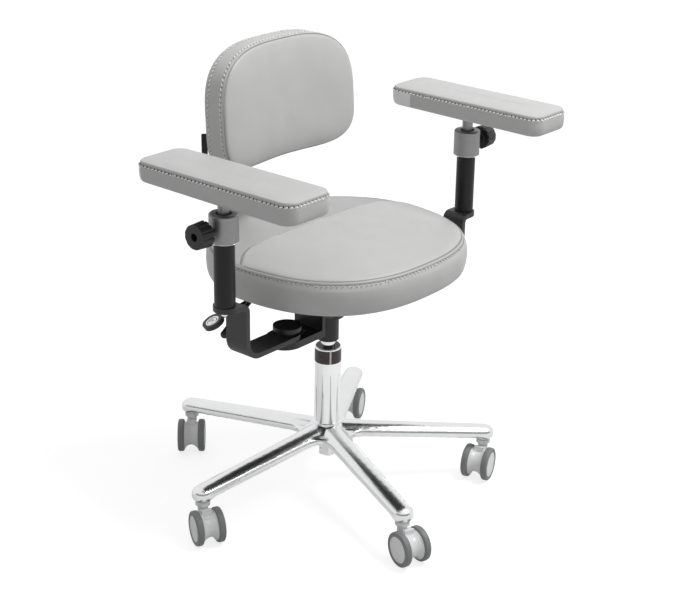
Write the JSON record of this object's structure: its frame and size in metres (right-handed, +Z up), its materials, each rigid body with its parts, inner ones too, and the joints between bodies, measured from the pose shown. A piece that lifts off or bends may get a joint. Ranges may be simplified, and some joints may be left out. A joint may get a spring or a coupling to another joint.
{
  "type": "microscopy chair",
  "caption": "Swivel laboratory chair with round seat, padded back, adjustable flat arm rests, gas lift and star base on twin-wheel castors.",
  "frame": {"origin": "on the floor under the column", "axes": "+Z up, the sitter faces -Y, the sitter's right is -X"},
  "size_m": [0.806, 0.6721, 0.8561],
  "materials": {
    "polished_alloy": "polished",
    "column_chrome": "polished",
    "black_plastic": "satin",
    "black_enamel": "satin",
    "board": "matte",
    "light_cover": "satin",
    "satin_alloy": "satin",
    "bolt_steel": "satin",
    "post_steel": "satin",
    "grey_housing": "satin",
    "grey_tread": "matte",
    "grey_rim": "satin"
  },
  "bodies": {
    "base": {"star_base": "polished_alloy", "column_tube": "column_chrome", "column_bush": "black_plastic", "hub_cap": "bolt_steel"},
    "lift": {"piston_rod": "column_chrome"},
    "seat_unit": {"rod_sleeve": "black_enamel", "seat_mechanism": "black_enamel", "seat_board": "board", "seat_cushion": "light_cover", "arm_carriers": "black_enamel"},
    "height_lever": {"height_lever": "black_plastic"},
    "tilt_lever": {"tilt_lever": "black_plastic"},
    "back_bar": {"back_bar": "black_enamel"},
    "back_unit": {"back_slider": "black_plastic", "back_cushion": "light_cover"},
    "back_knob": {"back_knob": "black_plastic"},
    "right_clamp": {"right_clamp_bolt": "bolt_steel"},
    "right_disc": {"right_disc_knob": "black_plastic"},
    "right_arm": {"right_strap": "black_enamel", "right_tube": "black_enamel", "right_collar": "satin_alloy"},
    "right_knob": {"right_side_knob": "black_plastic"},
    "right_rest_post": {"right_post": "post_steel"},
    "right_rest": {"right_pad_plate": "black_enamel", "right_pad": "light_cover"},
    "left_clamp": {"left_clamp_bolt": "bolt_steel"},
    "left_disc": {"left_disc_knob": "black_plastic"},
    "left_arm": {"left_strap": "black_enamel", "left_tube": "black_enamel", "left_collar": "satin_alloy"},
    "left_knob": {"left_side_knob": "black_plastic"},
    "left_rest_post": {"left_post": "post_steel"},
    "left_rest": {"left_pad_plate": "black_enamel", "left_pad": "light_cover"},
    "castor_1_swivel": {"castor_1_housing": "grey_housing"},
    "castor_1_near_wheel": {"castor_1_near_tyre": "grey_tread", "castor_1_near_rim": "grey_rim"},
    "castor_1_far_wheel": {"castor_1_far_tyre": "grey_tread", "castor_1_far_rim": "grey_rim"},
    "castor_2_swivel": {"castor_2_housing": "grey_housing"},
    "castor_2_near_wheel": {"castor_2_near_tyre": "grey_tread", "castor_2_near_rim": "grey_rim"},
    "castor_2_far_wheel": {"castor_2_far_tyre": "grey_tread", "castor_2_far_rim": "grey_rim"},
    "castor_3_swivel": {"castor_3_housing": "grey_housing"},
    "castor_3_near_wheel": {"castor_3_near_tyre": "grey_tread", "castor_3_near_rim": "grey_rim"},
    "castor_3_far_wheel": {"castor_3_far_tyre": "grey_tread", "castor_3_far_rim": "grey_rim"},
    "castor_4_swivel": {"castor_4_housing": "grey_housing"},
    "castor_4_near_wheel": {"castor_4_near_tyre": "grey_tread", "castor_4_near_rim": "grey_rim"},
    "castor_4_far_wheel": {"castor_4_far_tyre": "grey_tread", "castor_4_far_rim": "grey_rim"},
    "castor_5_swivel": {"castor_5_housing": "grey_housing"},
    "castor_5_near_wheel": {"castor_5_near_tyre": "grey_tread", "castor_5_near_rim": "grey_rim"},
    "castor_5_far_wheel": {"castor_5_far_tyre": "grey_tread", "castor_5_far_rim": "grey_rim"}
  },
  "joints": [
    {"name": "seat_height", "type": "slide", "parent": "base", "child": "lift", "axis": [0, 0, 1], "range_m": [-0.012, 0.09]},
    {"name": "seat_swivel", "type": "hinge", "parent": "lift", "child": "seat_unit", "pos_m": [0, 0, 0.38], "axis": [0, 0, 1], "continuous": true},
    {"name": "height_lever_lift", "type": "hinge", "parent": "seat_unit", "child": "height_lever", "pos_m": [-0.092, 0.099, 0.388], "axis": [0, 1, 0], "range_deg": [0, 8], "stiffness_Nm_per_rad": 2, "springref_deg": -8.59},
    {"name": "tilt_lever_lift", "type": "hinge", "parent": "seat_unit", "child": "tilt_lever", "pos_m": [-0.092, 0.077, 0.42], "axis": [0, 1, 0], "range_deg": [0, 5]},
    {"name": "back_tilt", "type": "hinge", "parent": "seat_unit", "child": "back_bar", "pos_m": [0, 0.105, 0.395], "axis": [-1, 0, 0], "range_deg": [-4, 14]},
    {"name": "back_height", "type": "slide", "parent": "back_bar", "child": "back_unit", "axis": [0, 0.0698, 0.9976], "range_m": [-0.02, 0.06]},
    {"name": "back_knob_turn", "type": "hinge", "parent": "back_unit", "child": "back_knob", "pos_m": [0, 0.16423, 0.7634], "axis": [0, 0.9976, -0.0698], "continuous": true},
    {"name": "right_arm_width", "type": "slide", "parent": "seat_unit", "child": "right_clamp", "axis": [1, 0, 0], "range_m": [0, 0.03]},
    {"name": "right_disc_turn", "type": "hinge", "parent": "right_clamp", "child": "right_disc", "pos_m": [-0.181, -0.06, 0.39], "axis": [0, 0, 1], "continuous": true},
    {"name": "right_arm_swing", "type": "hinge", "parent": "right_clamp", "child": "right_arm", "pos_m": [-0.181, -0.06, 0.384], "axis": [0, 0, 1], "range_deg": [-10, 15]},
    {"name": "right_knob_turn", "type": "hinge", "parent": "right_arm", "child": "right_knob", "pos_m": [-0.38, -0.06, 0.625], "axis": [1, 0, 0], "continuous": true},
    {"name": "right_rest_height", "type": "slide", "parent": "right_arm", "child": "right_rest_post", "axis": [0, 0, 1], "range_m": [-0.03, 0.06]},
    {"name": "right_rest_turn", "type": "hinge", "parent": "right_rest_post", "child": "right_rest", "pos_m": [-0.335, -0.06, 0.68], "axis": [0, 0, 1], "range_deg": [-15, 25]},
    {"name": "left_arm_width", "type": "slide", "parent": "seat_unit", "child": "left_clamp", "axis": [-1, 0, 0], "range_m": [0, 0.03]},
    {"name": "left_disc_turn", "type": "hinge", "parent": "left_clamp", "child": "left_disc", "pos_m": [0.181, -0.06, 0.39], "axis": [0, 0, 1], "continuous": true},
    {"name": "left_arm_swing", "type": "hinge", "parent": "left_clamp", "child": "left_arm", "pos_m": [0.181, -0.06, 0.384], "axis": [0, 0, -1], "range_deg": [-10, 15]},
    {"name": "left_knob_turn", "type": "hinge", "parent": "left_arm", "child": "left_knob", "pos_m": [0.38, -0.06, 0.625], "axis": [-1, 0, 0], "continuous": true},
    {"name": "left_rest_height", "type": "slide", "parent": "left_arm", "child": "left_rest_post", "axis": [0, 0, 1], "range_m": [-0.03, 0.06]},
    {"name": "left_rest_turn", "type": "hinge", "parent": "left_rest_post", "child": "left_rest", "pos_m": [0.335, -0.06, 0.68], "axis": [0, 0, -1], "range_deg": [-15, 25]},
    {"name": "castor_1_turn", "type": "hinge", "parent": "base", "child": "castor_1_swivel", "pos_m": [-0.0671, 0.30265, 0.076], "axis": [0, 0, 1], "continuous": true},
    {"name": "castor_1_near_spin", "type": "hinge", "parent": "castor_1_swivel", "child": "castor_1_near_wheel", "pos_m": [-0.08568, 0.28592, 0.0325], "axis": [0.6691, -0.7431, 0], "continuous": true},
    {"name": "castor_1_far_spin", "type": "hinge", "parent": "castor_1_swivel", "child": "castor_1_far_wheel", "pos_m": [-0.08568, 0.28592, 0.0325], "axis": [0.6691, -0.7431, 0], "continuous": true},
    {"name": "castor_2_turn", "type": "hinge", "parent": "base", "child": "castor_2_swivel", "pos_m": [-0.30857, 0.02971, 0.076], "axis": [0, 0, 1], "continuous": true},
    {"name": "castor_2_near_spin", "type": "hinge", "parent": "castor_2_swivel", "child": "castor_2_near_wheel", "pos_m": [-0.31992, 0.00744, 0.0325], "axis": [0.891, -0.454, 0], "continuous": true},
    {"name": "castor_2_far_spin", "type": "hinge", "parent": "castor_2_swivel", "child": "castor_2_far_wheel", "pos_m": [-0.31992, 0.00744, 0.0325], "axis": [0.891, -0.454, 0], "continuous": true},
    {"name": "castor_3_turn", "type": "hinge", "parent": "base", "child": "castor_3_swivel", "pos_m": [-0.12361, -0.28429, 0.076], "axis": [0, 0, 1], "continuous": true},
    {"name": "castor_3_near_spin", "type": "hinge", "parent": "castor_3_swivel", "child": "castor_3_near_wheel", "pos_m": [-0.13134, -0.30806, 0.0325], "axis": [0.9511, -0.309, 0], "continuous": true},
    {"name": "castor_3_far_spin", "type": "hinge", "parent": "castor_3_swivel", "child": "castor_3_far_wheel", "pos_m": [-0.13134, -0.30806, 0.0325], "axis": [0.9511, -0.309, 0], "continuous": true},
    {"name": "castor_4_turn", "type": "hinge", "parent": "base", "child": "castor_4_swivel", "pos_m": [0.23218, -0.20541, 0.076], "axis": [0, 0, 1], "continuous": true},
    {"name": "castor_4_near_spin", "type": "hinge", "parent": "castor_4_swivel", "child": "castor_4_near_wheel", "pos_m": [0.20827, -0.21272, 0.0325], "axis": [0.2924, -0.9563, 0], "continuous": true},
    {"name": "castor_4_far_spin", "type": "hinge", "parent": "castor_4_swivel", "child": "castor_4_far_wheel", "pos_m": [0.20827, -0.21272, 0.0325], "axis": [0.2924, -0.9563, 0], "continuous": true},
    {"name": "castor_5_turn", "type": "hinge", "parent": "base", "child": "castor_5_swivel", "pos_m": [0.2671, 0.15734, 0.076], "axis": [0, 0, 1], "continuous": true},
    {"name": "castor_5_near_spin", "type": "hinge", "parent": "castor_5_swivel", "child": "castor_5_near_wheel", "pos_m": [0.24445, 0.14677, 0.0325], "axis": [0.4226, -0.9063, 0], "continuous": true},
    {"name": "castor_5_far_spin", "type": "hinge", "parent": "castor_5_swivel", "child": "castor_5_far_wheel", "pos_m": [0.24445, 0.14677, 0.0325], "axis": [0.4226, -0.9063, 0], "continuous": true}
  ]
}
